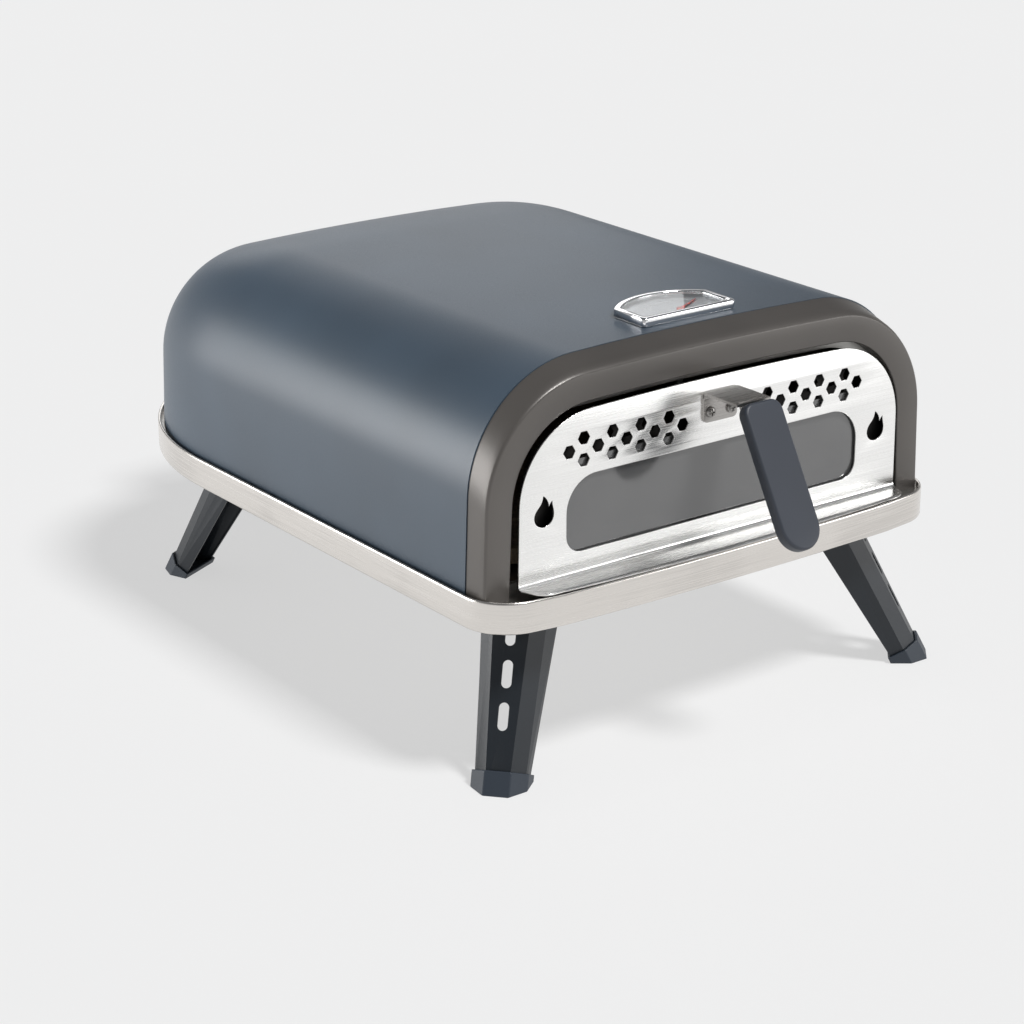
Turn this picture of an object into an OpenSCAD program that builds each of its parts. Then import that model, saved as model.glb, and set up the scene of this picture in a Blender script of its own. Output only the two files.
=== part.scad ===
// Table-top wood fired pizza oven: a D-shaped domed shell on a steel base tray, with a
// lift-off glazed front door, four fold-away legs and a fuel drawer at the back.
// Millimetres, +Z up, the door faces -Y, and the feet stand on z = 0.

/* [Overall] */
// Height of the door sill above the ground
sill_z = 148; // [142:1:160]
// Exponent of the rounded back in plan, where 2 is an ellipse
plan_power = 2.15; // [2:0.05:2.6]
// Distance from the door plate back to where the plan starts to curve
plan_straight = 387; // [370:1:400]
// Depth of the curved back of the shell
plan_round = 219.5; // [200:0.5:235]

/* [Shell] */
// Half width of the shell at its foot
shell_half = 214.5; // [205:0.5:216]
// Height of the shell above the sill
shell_rise = 161.5; // [150:0.5:175]
// Radius of the shell's upper corners
shell_corner = 95; // [80:1:110]
// Radius of the slight crown across the top
crown_r = 3400; // [2500:100:6000]
// Inward lean of the shell's sides in degrees
shell_draft = 1.9; // [0.5:0.1:3]
// Distance from the door plate back to where the roof starts to fall
roof_straight = 371; // [350:1:385]
// Exponent of the falling roof line
roof_power = 2.13; // [2:0.05:2.6]
// Thickness of the shell sheet
shell_t = 1.2; // [0.8:0.1:2]
// Thickness of the insulation blanket
blanket_t = 22; // [15:1:24]

/* [Front frame] */
// Half width of the frame at the sill
frame_half = 213.7; // [205:0.1:215]
// Rise of the frame's front edge above the sill
frame_front_rise = 152.7; // [145:0.1:158]
// Rise of the frame's back edge above the sill
frame_back_rise = 160.9; // [150:0.1:165]
// Corner radius of the frame's front edge
frame_corner = 92; // [80:1:100]
// Setback of the frame's face behind the door plate
frame_setback = 2.5; // [1:0.5:4]
// Depth of the frame from the door plate to the shell
frame_depth = 25; // [20:1:30]
// Thickness of the frame sheet
frame_t = 1.6; // [1:0.1:2.5]
// Half width of the mouth opening at the sill
mouth_half = 190.9; // [180:0.1:195]
// Rise of the mouth opening above the sill
mouth_rise = 130.5; // [120:0.5:135]
// Corner radius of the mouth opening
mouth_corner = 70; // [60:1:80]

/* [Door] */
// Half width of the door plate at the sill
door_half = 185; // [175:0.5:187]
// Rise of the door plate above the sill
door_rise = 126.2; // [115:0.1:128]
// Corner radius of the door plate
door_corner = 66; // [55:1:75]
// Thickness of the door plate
door_t = 1.2; // [0.8:0.1:2]
// Reach of the door's bottom lip at its middle
lip_reach = 26.7; // [20:0.1:30]
// Half width of the window
window_half = 142; // [120:0.5:150]
// Lower and upper edges of the window above the sill
window_z = [16.9, 74.8];
// Radii of the window's lower and upper corners
window_r = [14, 27];
// Thickness of the window glass
glass_t = 4; // [3:0.5:5]
// Distance from the door's middle to the nearest vent hole
vent_start = 34.7; // [30:0.1:40]
// Sideways and upward steps from one vent hole to the next
vent_step = [13.15, 8.28];
// Height of the middle row of vent holes above the sill
vent_rise = 94.6; // [90:0.1:98]
// Circumscribed radius of a vent hole
vent_r = 5.5; // [4:0.1:6]
// Distance from the door's middle to each flame-shaped hole
flame_x = 162.3; // [155:0.1:168]
// Lowest point of the flame-shaped hole above the sill
flame_rise = 42.5; // [35:0.5:50]

/* [Handle] */
// Lean of the grip away from the door, in degrees from vertical
grip_lean = 29.5; // [15:0.1:35]
// Width of the grip
grip_w = 36; // [28:0.5:40]
// Length of the grip
grip_l = 113.0; // [100:0.1:140]
// Thickness of the grip
grip_t = 10; // [8:0.5:16]
// Distance of the bracket's front flange in front of the door plate
bracket_reach = 34; // [30:0.5:45]
// Height of the bracket's top face above the sill
bracket_rise = 116; // [110:1:122]
// Width of the bracket
bracket_w = 32.5; // [28:0.5:36]
// Thickness of the bracket's sheet
bracket_t = 2; // [1.5:0.5:3]

/* [Base] */
// Half width of the base tray
tray_half = 220; // [216:0.5:225]
// Depth of the tray's curved back
tray_round = 224; // [215:0.5:230]
// Distance of the tray's front edge in front of the door plate
tray_front = 26; // [20:0.5:30]
// Bow of the tray's front edge
tray_bow = 7; // [2:0.5:10]
// Radius of the tray's front corners
tray_corner = 38; // [25:1:50]
// Lower and upper edges of the tray's rim
rim_z = [121, 146];
// Thickness of the rim sheet
rim_t = 1.2; // [0.8:0.1:2]
// Width of the rolled upper edge of the rim
rim_roll = 1.9; // [1:0.1:2]
// Height of the underside of the floor plate
floor_z = 139; // [137:0.5:140]
// Thickness of the floor plate
floor_t = 1.2; // [0.8:0.1:2]

/* [Legs] */
// Sideways and front-to-back places of the leg hinges, front pair then back pair
hinge_xy = [[148, 47], [133, 441]];
// Outward directions of the left legs, front then back, in degrees
leg_heading = [222, 117];
// Height of the leg hinges
hinge_z = 128; // [126:0.5:130]
// Outward lean of a leg that stands
leg_lean = 27.5; // [15:0.5:35]
// Distance of the leg's web from its hinge
leg_web_x = 21.5; // [18:0.5:24]
// Half width of the web at the foot and at the hinge
leg_web = [8.5, 15];
// Depth of the leg's channel at the foot and at the hinge
leg_depth = [20.3, 33];
// Size of the leg's corner flanges at the foot and at the hinge
leg_flange = [9.8, 10.4];
// Outward flare of the leg's side lips at the foot and at the hinge
leg_flare = [0.8, 5.3];
// Thickness of the leg sheet
leg_t = 1.6; // [1.2:0.1:2.5]
// Radius of the hinge pins
pin_r = 3; // [2:0.1:4]
// Clearance of the hinge pins in their holes
pin_gap = 0.05; // [0.02:0.01:0.1]
// Distances of the slots' centres from the ground, measured along the leg
slot_s = [57, 88, 119];
// Length and width of a slot
slot_size = [20.6, 7.7];
// Thickness of the foot cap's wall
cap_t = 2.6; // [2:0.1:3.5]
// Height of the foot cap along the leg
cap_h = 17.5; // [14:0.5:26]

/* [Thermometer] */
// Half width of the thermometer bezel
gauge_half = 45; // [40:0.5:50]
// Front edge of the bezel behind the door plate
gauge_y = 34.5; // [30:0.5:40]
// Depth of the bezel's straight sides
gauge_side = 35; // [25:0.5:40]
// Bulge of the bezel's curved back
gauge_bulge = 20; // [10:0.5:24]
// Height of the bezel above the shell
gauge_h = 7; // [5:0.5:10]
// Width of the bezel's ring
gauge_ring = 5; // [3:0.5:7]
// Place of the needle's pivot behind the bezel's front edge
needle_back = 12; // [8:1:20]
// Length of the needle
needle_l = 30; // [20:1:34]
// Turn of the needle from straight back, clockwise, when the oven is cold
needle_turn = 62; // [40:1:66]

/* [Inside] */
// Half width of the liner at its foot
liner_half = 186; // [180:0.5:188]
// Height of the liner above the sill
liner_rise = 126; // [118:0.5:128]
// Corner radius of the liner
liner_corner = 66; // [55:1:75]
// Depth of the liner's curved back
liner_round = 185; // [170:1:190]
// Half width, depth, thickness and corner radius of the pizza stone
stone = [170, 365, 12, 50];
// Distance of the stone's front edge behind the door plate
stone_y = 34; // [25:1:45]
// Distance of the flame baffle behind the door plate
baffle_y = 432; // [410:1:450]

/* [Fuel drawer] */
// Half width of the fuel port
port_half = 62; // [50:1:65]
// Lower and upper edges of the fuel port above the sill
port_rise = [4, 72];
// Front and back ends of the fuel port behind the door plate
port_y = [540, 612];
// Thickness of the port's sheet
port_t = 1.5; // [1:0.1:2]
// Half width of the fuel basket
basket_half = 52; // [40:1:56]
// Front end of the fuel basket behind the door plate
basket_y = 470; // [450:1:500]
// Radius of the air shutter
shutter_r = 21; // [15:1:24]

/* [Hidden] */
$fn = 48;
EPS = 0.05;
FAR = 400;
JOIN = 0.3;
STEEL = [0.74, 0.73, 0.71];
SATIN = [0.60, 0.60, 0.59];
ANTHRACITE = [0.27, 0.31, 0.35];
TITANIUM = [0.43, 0.41, 0.39];
NIGHT = [0.13, 0.16, 0.19];
drawer_gap = 1;
drawer_t = 1.6;
pull_reach = 22;
pull_r = 5;
pull_z = sill_z + port_rise[1] - 6;
drawer_y = port_y[1] + drawer_gap;
grip_drop = 4;
bracket_lip = 4.3;
grip_front = bracket_reach + (bracket_t + grip_t) * cos(grip_lean) + (grip_drop + grip_l) * sin(grip_lean);
door_forward = (port_y[1] + drawer_gap + drawer_t + pull_reach + pull_r - grip_front) / 2;
frame_back = frame_depth - 0.3;
hearth_z = sill_z - 2;
hearth_t = 1;
standoff_h = 5;
stone_z = hearth_z + hearth_t + standoff_h;
gauge_z = sill_z + shell_rise + 0.05;
gauge_back = gauge_y + gauge_side + gauge_bulge;
gauge_arc_r = (gauge_half * gauge_half + gauge_bulge * gauge_bulge) / (2 * gauge_bulge);
needle_y = gauge_y + needle_back;
screw_r = 2;
screw_x = 10;
screw_rise = 100;
leg_run = (hinge_z + leg_web_x * sin(leg_lean)) / cos(leg_lean);
leg_end = leg_run;
leg_top = 2;
lip_limit = 10.3;
ear_t = 2;
ear_r = 9;
cheek_y = 12;
cheek_r = 8;
cap_floor = 2.4;
collar_y = frame_back - 8;
collar_t = 1.2;
hearth_y = collar_y + collar_t + JOIN;
air_hole_r = 5;
air_ring_r = 12.5;
shutter_y = drawer_y + drawer_t + 0.6;
shutter_z = sill_z + (port_rise[0] + port_rise[1]) / 2 - 8;

// ---------- outlines ----------

// Points of an arc, counter-clockwise from angle a0 to a1
function arc(c, r, a0, a1, n = 10) =
    [for (i = [0:n]) let (a = a0 + (a1 - a0) * i / n) c + r * [cos(a), sin(a)]];

// Half-round arch of half width w at height z0 and top height t: leaning sides, corner arcs of
// radius r and a crowned top of radius cr, as [x, z] points from the right foot to the left foot
function arch(w, z0, t, r, cr, lean, n = 12) =
    let (slope = tan(lean), k = w - r / cos(lean) + z0 * slope, low = t - cr, b = k * slope + low)
    let (q = slope * slope + 1, zc = (b + sqrt(b * b - q * (k * k + low * low - (cr - r) * (cr - r)))) / q)
    let (xc = k - zc * slope, up = 90 - atan2(xc, zc - low))
    concat([[w, z0]], arc([xc, zc], r, lean, up, n), arc([0, low], cr, up + 1, 179 - up, 6),
           arc([-xc, zc], r, 180 - up, 180 - lean, n), [[-w, z0]]);

// Half-superellipse share of full size at distance u (0 to 1) along the rounded back
function share(u, power) = pow(max(0, 1 - pow(max(0, u), power)), 1 / power);

// D-shaped plan: bowed front edge with rounded corners, straight sides, rounded back
function d_plan(w, front, bow, corner, back, n = 28) =
    let (r = (w * w + bow * bow) / (2 * max(bow, 0.01)), side = front + bow)
    concat(
        arc([w - corner, side + corner], corner, -80, 0, 8),
        [for (i = [0:2 * n]) let (a = 90 * i / n) [w * sign(cos(a)) * pow(abs(cos(a)), 2 / plan_power),
            plan_straight + back * pow(sin(a), 2 / plan_power)]],
        arc([-w + corner, side + corner], corner, 180, 260, 8),
        [for (i = [1:9]) let (x = -w + corner + (w - corner) * i / 5) [x, front + bow * x * x / (w * w)]]
    );

// Rounded rectangle in plan or in elevation, centred on x = 0
function round_rect(w, y0, y1, r0, r1) = concat(
    arc([w - r0, y0 + r0], r0, -90, 0), arc([w - r1, y1 - r1], r1, 0, 90),
    arc([-w + r1, y1 - r1], r1, 90, 180), arc([-w + r0, y0 + r0], r0, 180, 270));

function unit(v) = v / norm(v);

// Outline grown outward by d, with mitred corners
function grow(p, d) = [for (i = [0:len(p) - 1])
    let (u = unit(p[i] - p[(i + len(p) - 1) % len(p)]), v = unit(p[(i + 1) % len(p)] - p[i]))
    let (m = [u[1] + v[1], -u[0] - v[0]]) p[i] + m * (2 * d / (m * m))];

// ---------- building blocks ----------

// Moves from door coordinates, where y = 0 is the door plate's face, to the part's own frame
module place() {
    translate([0, -door_forward, 0]) children();
}

// Prism of an [x, z] outline between two distances behind the door plate
module slab(points, y0, y1) {
    translate([0, y1, 0]) rotate([90, 0, 0]) linear_extrude(y1 - y0) polygon(points);
}

// Prism of an [x, y] plan outline between two heights
module plate(points, z0, z1) {
    translate([0, 0, z0]) linear_extrude(z1 - z0) polygon(points);
}

// Skin through equal-length rings of points, closed at both ends
module loft(rings) {
    n = len(rings[0]);
    m = len(rings);
    polyhedron(
        points = [for (ring = rings) each ring],
        faces = concat(
            [[for (i = [0:n - 1]) i]],
            [[for (i = [n - 1:-1:0]) (m - 1) * n + i]],
            [for (j = [0:m - 2], i = [0:n - 1]) [j * n + i, (j + 1) * n + i, (j + 1) * n + (i + 1) % n]],
            [for (j = [0:m - 2], i = [0:n - 1]) [j * n + i, (j + 1) * n + (i + 1) % n, j * n + (i + 1) % n]]
        ));
}

// Ring of an arch outline at distance y, narrowed by sx and lowered towards z0 by sz
function ring(outline, y, z0, sx = 1, sz = 1) = [for (p = outline) [p[0] * sx, y, z0 + (p[1] - z0) * sz]];

// Outline carried down by drop below its feet, for cutters
function sunk(p, drop = 3) = concat([[p[0][0], p[0][1] - drop]], p, [[-p[0][0], p[0][1] - drop]]);

// Domed body: an arch carried straight back, then closed by the rounded back
module dome(outline, z0, y0, back, steps = 12) {
    end = plan_straight + back;
    start = roof_straight;
    loft(concat(
        [for (i = [steps:-1:0]) let (y = start + (end - start) * sin(88.5 * i / steps))
            ring(outline, y, z0, share((y - plan_straight) / back, plan_power),
                 share((y - start) / (end - start), roof_power))],
        [ring(outline, y0, z0)]));
}

// Pan-head screw along +Z with its head's flat side at the origin
module screw(r, length, head_r, head_h) {
    translate([0, 0, -head_h]) cylinder(r1 = head_r * 0.8, r2 = head_r, h = head_h);
    cylinder(r = r, h = length);
}

// Leg i: 0 front left, 1 front right, 2 back left, 3 back right; +X is outward, z = 0 at the hinge
module at_leg(i) {
    row = floor(i / 2);
    right = i % 2;
    heading = right ? 180 - leg_heading[row] : leg_heading[row];
    place() translate([(right ? 1 : -1) * hinge_xy[row][0], hinge_xy[row][1], hinge_z])
        rotate([0, 0, heading]) children();
}

// ---------- base ----------

function tray_plan(inset) = d_plan(tray_half - inset, -tray_front + inset, tray_bow, tray_corner - inset,
                                   tray_round - inset);

module base_rim() {
    color(STEEL) place() {
        difference() {
            plate(tray_plan(0), rim_z[0], rim_z[1]);
            plate(tray_plan(rim_t), rim_z[0] - 1, rim_z[1] - 5);
            plate(tray_plan(rim_roll), rim_z[0] - 1, rim_z[1] + 1);
        }
        difference() {
            plate(tray_plan(rim_t / 2), rim_z[0], rim_z[0] + rim_t);
            plate(tray_plan(9), rim_z[0] - 1, rim_z[0] + 2 * rim_t);
        }
    }
}

// Centres of the floor screws, in door coordinates
function floor_screws() = concat([for (s = [-1, 1], y = [120, 330]) [s * 200, y]],
                                 [for (s = [-1, 1]) [s * 120, 560]]);

module base_floor() {
    color(SATIN) place() difference() {
        plate(tray_plan(rim_t + 0.3), floor_z, floor_z + floor_t);
        for (p = floor_screws()) translate([p[0], p[1], floor_z - 1]) cylinder(r = screw_r + 0.1, h = 4);
        for (s = [-1, 1], i = [0:5]) translate([s * 60 - 20, 180 + 45 * i, floor_z - 1]) cube([40, 6, 4]);
    }
}

module base_screws() {
    color(STEEL) place() for (p = floor_screws())
        translate([p[0], p[1], floor_z]) screw(screw_r, floor_t, 4, 2.2);
}

module leg_brackets() {
    drop = floor_z - hinge_z;
    color(SATIN) for (i = [0:3]) at_leg(i) {
        translate([-13, -15, drop - 1.5]) cube([26, 30, 1.5]);
        for (s = [-1, 1]) translate([0, s * cheek_y, 0]) difference() {
            union() {
                rotate([90, 0, 0]) cylinder(r = cheek_r, h = 2, center = true);
                translate([-cheek_r, -1, 0]) cube([2 * cheek_r, 2, drop - 1]);
            }
            rotate([90, 0, 0]) cylinder(r = pin_r, h = 4, center = true);
        }
    }
}

module leg_pins() {
    color(STEEL) for (i = [0:3]) at_leg(i) rotate([90, 0, 0]) {
        cylinder(r = pin_r, h = 70, center = true);
        for (s = [-1, 1]) translate([0, 0, s * 36]) cylinder(r = 5, h = 2, center = true);
    }
}

// ---------- legs ----------

function mix(range, k) = range[0] + (range[1] - range[0]) * k;

// Outline of the leg at share k of its height (0 at the ground, 1 at the hinge), grown by g
function leg_outline(k, g = 0) =
    let (w = mix(leg_web, k), e = mix(leg_flange, k), d = mix(leg_depth, k), f = mix(leg_flare, k))
    grow([[leg_web_x, -w], [leg_web_x, w], [leg_web_x - e, w + e], [leg_web_x - d, w + e + f],
          [leg_web_x - d, -w - e - f], [leg_web_x - e, -w - e]], g);

function leg_ring(s, g) = [for (p = leg_outline(1 - s / leg_run, g)) [p[0], p[1], -s]];

// Standing lean of a leg about its hinge
module leaned() {
    rotate([0, -leg_lean, 0]) children();
}

module above(z) {
    translate([-FAR, -FAR, z]) cube([2 * FAR, 2 * FAR, hinge_z + 20]);
}

// Pressed channel that stands cap_floor above the ground, with two ears round the hinge pin
module leg(i) {
    ear_y = leg_web[1] + leg_flange[1] + 2.4;
    color(NIGHT) intersection() {
        at_leg(i) leaned() difference() {
            union() {
                difference() {
                    loft([leg_ring(leg_end, 0), leg_ring(leg_top, 0)]);
                    loft([leg_ring(leg_end + 5, -leg_t), leg_ring(leg_top - 5, -leg_t)]);
                    open_side();
                    translate([-40 - lip_limit, -60, -30]) cube([40, 120, 40]);
                }
                for (s = [-1, 1]) translate([0, s * ear_y, 0]) {
                    rotate([90, 0, 0]) cylinder(r = ear_r, h = ear_t, center = true);
                    translate([-7, -ear_t / 2, -14]) cube([14, ear_t, 14]);
                }
            }
            rotate([90, 0, 0]) cylinder(r = pin_r + pin_gap, h = 90, center = true);
            for (s = slot_s) translate([leg_web_x, 0, s - leg_run]) slot();
        }
        above(cap_floor);
    }
}

// Cutter that opens the leg's inner side between its lips
module open_side() {
    back = function(s) leg_web_x - mix(leg_depth, 1 - s / leg_run);
    wide = function(s) leg_outline(1 - s / leg_run, -leg_t)[3][1] - 0.5;
    loft([for (s = [leg_end + 5, leg_top - 5]) let (x0 = back(s) - 5, x1 = back(s) + leg_t + 1, y = wide(s))
        [[x1, -y, -s], [x1, y, -s], [x0, y, -s], [x0, -y, -s]]]);
}

// Rounded slot through the leg's web
module slot() {
    half = (slot_size[0] - slot_size[1]) / 2;
    for (s = [-1, 1]) translate([0, 0, s * half]) rotate([0, 90, 0])
        cylinder(d = slot_size[1], h = 8, center = true);
    cube([8, slot_size[1], 2 * half], center = true);
}

// Moulded cap round the foot of a leg, closed by a flat pad on the ground
module foot(i) {
    below = 20;
    color(NIGHT) difference() {
        intersection() {
            at_leg(i) leaned() translate([0, 0, -leg_run - below]) linear_extrude(cap_h + below)
                polygon(leg_outline(0.07, cap_t));
            above(0);
        }
        intersection() {
            at_leg(i) leaned()
                loft([leg_ring(leg_run + below, pin_gap), leg_ring(leg_run - 2 * below, pin_gap)]);
            above(cap_floor);
        }
    }
}

module leg_front_left() { leg(0); }
module leg_front_right() { leg(1); }
module leg_back_left() { leg(2); }
module leg_back_right() { leg(3); }
module foot_front_left() { foot(0); }
module foot_front_right() { foot(1); }
module foot_back_left() { foot(2); }
module foot_back_right() { foot(3); }

// ---------- shell, frame and liner ----------

shell_z = floor_z + floor_t;

// Shell outline, moved inward by d
function shell_arch(d) =
    arch(shell_half - d, shell_z, sill_z + shell_rise - d, shell_corner - d, crown_r - d, shell_draft);

function liner_arch(d) =
    arch(liner_half - d, hearth_z, sill_z + liner_rise - d, liner_corner - d, crown_r - d, shell_draft);

// Cutter for the fuel port, grown by g
module port_hole(g) {
    w = port_half + g;
    h = port_rise[1] - port_rise[0] + 2 * g;
    translate([-w, port_y[0] - 60, sill_z + port_rise[0] - g]) cube([2 * w, 200, h]);
}

// Cutter for the thermometer stem, grown by g
module stem_hole(g) {
    translate([0, needle_y, sill_z + liner_rise - 30]) cylinder(r = 3 + g, h = 100);
}

module outer_shell() {
    color(ANTHRACITE) place() difference() {
        dome(shell_arch(0), shell_z, frame_depth, plan_round);
        dome(sunk(shell_arch(shell_t)), shell_z, frame_depth - 1, plan_round - shell_t);
        port_hole(0.3);
        stem_hole(1);
    }
}

module shell_insulation() {
    gap = shell_t + 0.5;
    color([0.85, 0.83, 0.78]) place() difference() {
        dome(shell_arch(gap), shell_z, frame_depth + 2, plan_round - gap);
        dome(sunk(shell_arch(gap + blanket_t)), shell_z, frame_depth, plan_round - gap - blanket_t);
        port_hole(0.3);
        stem_hole(1);
    }
}

function frame_ring(inset, y, k) =
    let (
        top = sill_z + mix([frame_front_rise, frame_back_rise], k) - inset,
        corner = mix([frame_corner, shell_corner], k) - inset
    )
    ring(arch(frame_half - inset, shell_z, top, corner, crown_r, shell_draft), y, shell_z);

function frame_sunk(y, k) = let (r = frame_ring(frame_t, y, k), n = len(r) - 1)
    concat([r[0] - [0, 0, 3]], r, [r[n] - [0, 0, 3]]);

function mouth_arch(d) =
    arch(mouth_half + d, shell_z, sill_z + mouth_rise + d, mouth_corner + d, crown_r, 2.2);

module front_frame() {
    face = frame_setback;
    color(TITANIUM) place() {
        difference() {
            loft([frame_ring(0, frame_back, 1), frame_ring(0, face + 1.8, 0.08),
                  frame_ring(0.4, face + 0.7, 0), frame_ring(1.6, face, 0)]);
            loft([frame_sunk(frame_back + 1, 1), frame_sunk(face + frame_t, 0.06)]);
            slab(sunk(mouth_arch(0)), 0, 10);
        }
        difference() {
            slab(mouth_arch(frame_t), face + frame_t - EPS, collar_y);
            slab(sunk(mouth_arch(0)), 0, frame_depth);
        }
    }
}

// Screws that hold the collar, pointing forwards
module collar_spots() {
    for (s = [-1, 1], rise = [12, 50])
        translate([s * (mouth_half + frame_t + 8), 0, sill_z + rise]) children();
}

module frame_screws() {
    color(STEEL) place() collar_spots() translate([0, collar_y + collar_t, 0]) rotate([90, 0, 0])
        screw(screw_r, 6, 3.5, 2);
}

// Plate that closes the gap between the front frame and the liner
module mouth_collar() {
    color(STEEL) place() difference() {
        slab(frame_collar(), collar_y, collar_y + collar_t);
        slab(liner_arch(3), collar_y - 1, collar_y + 3);
        collar_spots() translate([0, collar_y - 1, 0]) rotate([-90, 0, 0]) cylinder(r = screw_r + 0.1, h = 5);
    }
}

function frame_collar() =
    arch(frame_half - 4, shell_z, sill_z + frame_front_rise - 1, frame_corner - 4, crown_r, shell_draft);

module inner_liner() {
    color(STEEL) place() difference() {
        dome(liner_arch(0), hearth_z, frame_back - 6.8, liner_round);
        dome(sunk(liner_arch(1)), hearth_z, frame_back - 10, liner_round - 1);
        port_hole(0.3);
        stem_hole(0.3);
    }
}

// ---------- hearth ----------

function hearth_plan(inset) = d_plan(liner_half - inset, hearth_y, 0.5, 3, liner_round - inset);

module floor_insulation() {
    color([0.85, 0.83, 0.78]) place() plate(hearth_plan(6), shell_z + 0.3, hearth_z - 0.3);
}

module hearth_plate() {
    color(SATIN) place() plate(hearth_plan(1.5), hearth_z, hearth_z + hearth_t);
}

module stone_supports() {
    color(SATIN) place() for (s = [-1, 1], y = [60, 215, 370])
        translate([s * 130, y, hearth_z + hearth_t]) cylinder(r = 9, h = standoff_h);
}

module pizza_stone() {
    color([0.72, 0.62, 0.48]) place()
        plate(round_rect(stone[0], stone_y, stone_y + stone[1], 12, stone[3]), stone_z, stone_z + stone[2]);
}

module flame_baffle() {
    half = 160;
    top = sill_z + 84;
    low = hearth_z + hearth_t;
    color(SATIN) place() difference() {
        union() {
            slab(round_rect(half, low, top, 1, 20), baffle_y, baffle_y + 1.5);
            translate([-half, baffle_y, low]) cube([2 * half, 14, 1.5]);
        }
        for (i = [-7:7]) translate([i * 20, 0, 0])
            slab(round_rect(4, low + 23, top - 12, 3.9, 3.9), baffle_y - 1, baffle_y + 3);
    }
}

// ---------- thermometer ----------

// D-shaped gauge outline, inset by d: straight front and sides, bulged back
function gauge_plan(d) =
    let (w = gauge_half - d, y0 = gauge_y + d, r = gauge_arc_r - d, a = asin(w / r))
    let (yc = gauge_back - gauge_arc_r)
    concat(arc([w - 4, y0 + 4], 4, -90, 0, 6), arc([0, yc], r, 90 - a, 90 + a, 20),
           arc([-w + 4, y0 + 4], 4, 180, 270, 6));

module gauge_bezel() {
    color([0.85, 0.85, 0.86]) place() difference() {
        plate(gauge_plan(0), gauge_z, gauge_z + gauge_h);
        plate(gauge_plan(gauge_ring), gauge_z + 1.5, gauge_z + gauge_h + 1);
        stem_hole(0.3);
    }
}

module gauge_dial() {
    color([0.62, 0.63, 0.65]) place() difference() {
        plate(gauge_plan(gauge_ring + 0.3), gauge_z + 1.6, gauge_z + 3.4);
        translate([0, needle_y, gauge_z]) cylinder(r = 1.5, h = 10);
    }
}

module gauge_lens() {
    top = gauge_z + gauge_h - 0.4;
    color([0.9, 0.95, 1, 0.35]) place() plate(gauge_plan(gauge_ring + 0.3), top - 1, top);
}

module gauge_needle() {
    z = gauge_z + 3.8;
    color("firebrick") place() translate([0, needle_y, z]) rotate([0, 0, -needle_turn]) {
        cylinder(r = 3, h = 1);
        linear_extrude(0.6)
            polygon([[-1.3, 0], [-0.5, needle_l], [0.5, needle_l], [1.3, 0], [1, -5], [-1, -5]]);
        translate([0, 0, -1.5]) cylinder(r = 1.4, h = 2);
    }
}

module gauge_stem() {
    low = sill_z + liner_rise - 26;
    color(STEEL) place() translate([0, needle_y, low]) cylinder(r = 3, h = gauge_z + 1.4 - low);
}

module gauge_nut() {
    top = sill_z + liner_rise - 1.2;
    color(STEEL) place() translate([0, needle_y, top - 4]) difference() {
        cylinder(r = 7, h = 4, $fn = 6);
        translate([0, 0, -1]) cylinder(r = 3.05, h = 6);
    }
}

// ---------- door ----------

function door_arch(d) = arch(door_half - d, sill_z, sill_z + door_rise - d, door_corner - d, crown_r, 0.9);

function window_outline(g) = round_rect(window_half + g, sill_z + window_z[0] - g, sill_z + window_z[1] + g,
                                        window_r[0] + g, window_r[1] + g);

function bezier(a, b, c, d, n = 8) = [for (i = [1:n]) let (t = i / n, u = 1 - t)
    u * u * u * a + 3 * u * u * t * b + 3 * u * t * t * c + t * t * t * d];

// Flame outline with its lowest point at the origin: a tall tongue with a smaller one beside it
flame_points = concat(
    bezier([0, 0], [6, 0.5], [9.5, 5], [9, 10]),
    bezier([9, 10], [8.6, 13.5], [7.2, 16], [7.6, 19]),
    bezier([7.6, 19], [5.6, 17.8], [4.8, 16.4], [4.6, 14.6]),
    bezier([4.6, 14.6], [4.2, 18.5], [2.6, 21.5], [-0.8, 24.2]),
    bezier([-0.8, 24.2], [-1, 19], [-3.4, 17], [-6.4, 14]),
    bezier([-6.4, 14], [-11.4, 8.4], [-8, 0.6], [0, 0]));

// Places of the vent holes on the right half of the door, from its middle
vent_spots = concat(
    [for (k = [0:2:8]) [vent_start + k * vent_step[0], vent_rise]],
    [for (k = [1:2:7], s = [-1, 1]) [vent_start + k * vent_step[0], vent_rise + s * vent_step[1]]]);

// Every hole in the door plate, as cutters through its thickness
module door_cutters() {
    slab(window_outline(0), -5, 5);
    for (s = [-1, 1]) {
        for (p = vent_spots) translate([s * p[0], 5, sill_z + p[1]]) rotate([90, 0, 0])
            cylinder(r = vent_r, h = 10, $fn = 6);
        translate([s * flame_x, 5, sill_z + flame_rise]) rotate([90, 0, 0]) linear_extrude(10)
            polygon(flame_points);
    }
    bolt_holes();
}

module bolt_holes() {
    for (s = [-1, 1]) translate([s * screw_x, 10, sill_z + screw_rise]) rotate([90, 0, 0])
        cylinder(r = screw_r + 0.1, h = 20);
}

// Plan of the door's bottom lip
function lip_plan() = concat(
    arc([door_half - 18, -lip_reach + 24], 18, -80, 0, 8), [[door_half, door_t], [-door_half, door_t]],
    arc([-door_half + 18, -lip_reach + 24], 18, 180, 260, 8),
    [for (i = [-4:4]) let (x = i * 38) [x, -lip_reach + 6 * x * x / (165 * 165)]]);

module door_plate() {
    color([0.86, 0.86, 0.84]) place() {
        difference() {
            slab(door_arch(0), 0, door_t);
            door_cutters();
        }
        plate(lip_plan(), sill_z - 1, sill_z);
    }
}

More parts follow.
